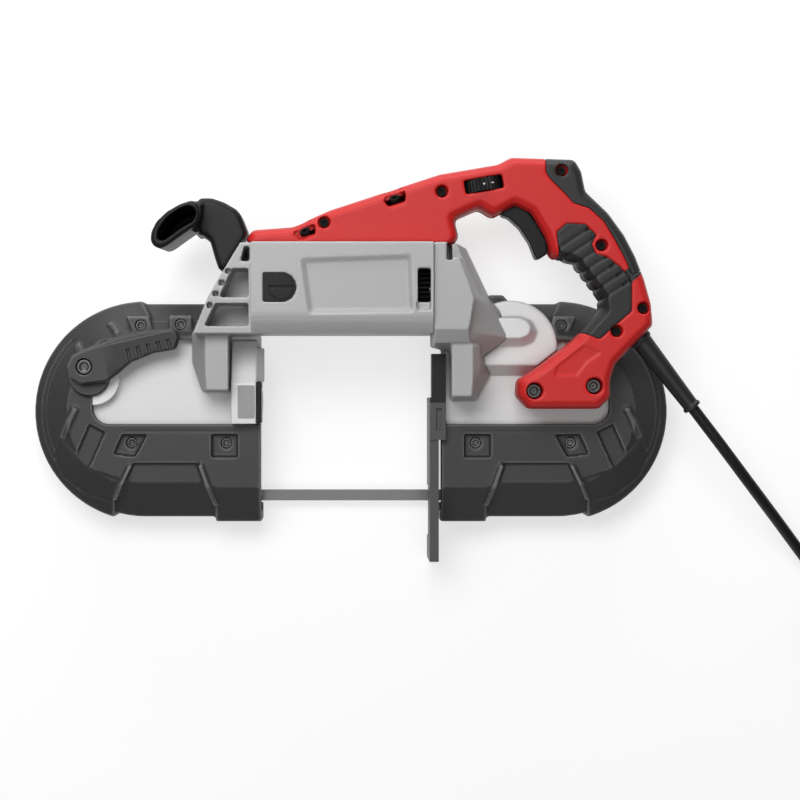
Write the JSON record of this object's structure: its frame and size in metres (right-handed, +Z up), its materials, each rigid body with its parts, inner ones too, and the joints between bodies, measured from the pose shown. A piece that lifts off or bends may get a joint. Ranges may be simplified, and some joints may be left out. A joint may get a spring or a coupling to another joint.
{
  "type": "portable band saw",
  "caption": "Corded portable band saw lying on its wheel side: red rear handle, grey cast frame, black guards, front grip, work shoe and a cord with plug",
  "frame": {"origin": "on the bench under the middle of the saw without its cord", "axes": "+X along the blade towards the rear handle, +Y from the blade towards the handles, +Z up from the bench, away from the wheels"},
  "size_m": [0.8254, 0.4868, 0.122],
  "materials": {
    "cast_aluminium": "as cast, lightly brushed on the flat faces",
    "red_plastic": "fine moulded texture",
    "black_rubber": "matte overmould",
    "guard_rubber": "matte moulded",
    "black_plastic": "fine moulded texture",
    "black_steel": "black oxide",
    "bright_steel": "ground",
    "blade_steel": "rolled strip",
    "wheel_casting": "as cast",
    "laminated_iron": "stacked sheet",
    "copper": "wound wire",
    "carbon": "pressed carbon",
    "light_grey_plastic": "smooth",
    "clear_lens": "clear",
    "cord_rubber": "matte jacket",
    "plug_brass": "bright"
  },
  "bodies": {
    "frame": {"brush_caps": "black_plastic", "carbon_brushes": "carbon", "cord_coil": "cord_rubber", "cord_lead": "cord_rubber", "cord_tie": "black_plastic", "drive_axle": "bright_steel", "drive_bearing": "bright_steel", "drive_guard": "guard_rubber", "field_coils": "copper", "finger_grip": "black_rubber", "foot_screws": "black_steel", "frame_bolts": "black_steel", "front_handle": "black_rubber", "gear_case": "cast_aluminium", "gear_case_cover": "cast_aluminium", "guard_screws": "black_steel", "guide_brackets": "black_steel", "handle_screws": "black_steel", "handle_shell_far": "red_plastic", "handle_shell_near": "red_plastic", "idler_frame": "cast_aluminium", "idler_guard": "guard_rubber", "led_housing": "light_grey_plastic", "led_lens": "clear_lens", "motor_housing": "cast_aluminium", "palm_grip": "black_rubber", "plug": "black_plastic", "plug_blades": "plug_brass", "saw_blade": "blade_steel", "shaft_bearings": "bright_steel", "stator": "laminated_iron", "strain_relief": "black_rubber", "switch_body": "black_plastic", "tension_boss": "bright_steel"},
    "armature": {"armature_shaft": "bright_steel", "armature_core": "laminated_iron", "commutator": "copper", "fan": "black_plastic"},
    "layshaft_train": {"layshaft": "bright_steel", "layshaft_gear": "bright_steel"},
    "intermediate": {"intermediate_shaft": "bright_steel", "bevel_gear": "bright_steel"},
    "drive_wheel_body": {"drive_wheel": "wheel_casting", "drive_tyre": "black_rubber", "drive_gear": "bright_steel"},
    "carriage": {"idler_carriage": "bright_steel", "idler_axle": "bright_steel", "idler_bearing": "bright_steel"},
    "idler_wheel_body": {"idler_wheel": "wheel_casting", "idler_tyre": "black_rubber"},
    "lever": {"tension_lever": "black_plastic", "tension_shaft": "bright_steel", "tension_lever_screw": "black_steel"},
    "idler_roller_upper": {"idler_guide_roller_upper": "bright_steel"},
    "idler_roller_lower": {"idler_guide_roller_lower": "bright_steel"},
    "drive_roller_upper": {"drive_guide_roller_upper": "bright_steel"},
    "drive_roller_lower": {"drive_guide_roller_lower": "bright_steel"},
    "shoe": {"shoe_plate": "black_steel"},
    "trigger_body": {"trigger": "black_plastic"},
    "dial": {"speed_dial": "black_plastic"}
  },
  "joints": [
    {"name": "armature_spin", "type": "hinge", "parent": "frame", "child": "armature", "pos_m": [0, 0.058, 0.076], "axis": [1, 0, 0], "continuous": true},
    {"name": "layshaft_spin", "type": "hinge", "parent": "frame", "child": "layshaft_train", "pos_m": [0.09, 0.02638, 0.061], "axis": [1, 0, 0], "continuous": true},
    {"name": "intermediate_spin", "type": "hinge", "parent": "frame", "child": "intermediate", "pos_m": [0.13702, 0.02638, 0.05], "axis": [0, 0, 1], "continuous": true},
    {"name": "drive_wheel_spin", "type": "hinge", "parent": "frame", "child": "drive_wheel_body", "pos_m": [0.173, -0.0417, 0.0155], "axis": [0, 0, 1], "continuous": true},
    {"name": "idler_wheel_spin", "type": "hinge", "parent": "carriage", "child": "idler_wheel_body", "pos_m": [-0.173, -0.0417, 0.0155], "axis": [0, 0, 1], "continuous": true},
    {"name": "idler_roller_upper_spin", "type": "hinge", "parent": "frame", "child": "idler_roller_upper", "pos_m": [-0.084, -0.10894, 0.0103], "axis": [0, 0.788, 0.6157], "continuous": true},
    {"name": "idler_roller_lower_spin", "type": "hinge", "parent": "frame", "child": "idler_roller_lower", "pos_m": [-0.084, -0.11706, 0.0207], "axis": [0, 0.788, 0.6157], "continuous": true},
    {"name": "drive_roller_upper_spin", "type": "hinge", "parent": "frame", "child": "drive_roller_upper", "pos_m": [0.084, -0.10894, 0.0103], "axis": [0, 0.788, 0.6157], "continuous": true},
    {"name": "drive_roller_lower_spin", "type": "hinge", "parent": "frame", "child": "drive_roller_lower", "pos_m": [0.084, -0.11706, 0.0207], "axis": [0, 0.788, 0.6157], "continuous": true},
    {"name": "tension_lever_turn", "type": "hinge", "parent": "frame", "child": "lever", "pos_m": [-0.21871, -0.00486, 0.06], "axis": [0, 0, -1], "range_deg": [0, 180]},
    {"name": "idler_slide", "type": "slide", "parent": "frame", "child": "carriage", "axis": [1, 0, 0], "range_m": [0, 0.006]},
    {"name": "shoe_slide", "type": "slide", "parent": "frame", "child": "shoe", "axis": [0, 1, 0], "range_m": [0, 0.025]},
    {"name": "trigger_pull", "type": "hinge", "parent": "frame", "child": "trigger_body", "pos_m": [0.12957, 0.12162, 0.076], "axis": [0, 0, 1], "range_deg": [0, 10], "stiffness_Nm_per_rad": 0.5, "springref_deg": -11.46},
    {"name": "speed_dial_turn", "type": "hinge", "parent": "frame", "child": "dial", "pos_m": [0.10704, 0.14174, 0.0846], "axis": [-0.1736, 0.9848, 0], "range_deg": [0, 270]}
  ],
  "couplings": [
    {"joint": "layshaft_spin", "follows": "armature_spin", "ratio": -0.2069},
    {"joint": "intermediate_spin", "follows": "armature_spin", "ratio": 0.082759},
    {"joint": "drive_wheel_spin", "follows": "armature_spin", "ratio": -0.015279},
    {"joint": "idler_wheel_spin", "follows": "armature_spin", "ratio": -0.015279},
    {"joint": "idler_roller_upper_spin", "follows": "armature_spin", "ratio": 0.18156},
    {"joint": "idler_roller_lower_spin", "follows": "armature_spin", "ratio": -0.18156},
    {"joint": "drive_roller_upper_spin", "follows": "armature_spin", "ratio": 0.18156},
    {"joint": "drive_roller_lower_spin", "follows": "armature_spin", "ratio": -0.18156},
    {"joint": "tension_lever_turn", "follows": "idler_slide", "rad_per_m": 523.59}
  ]
}
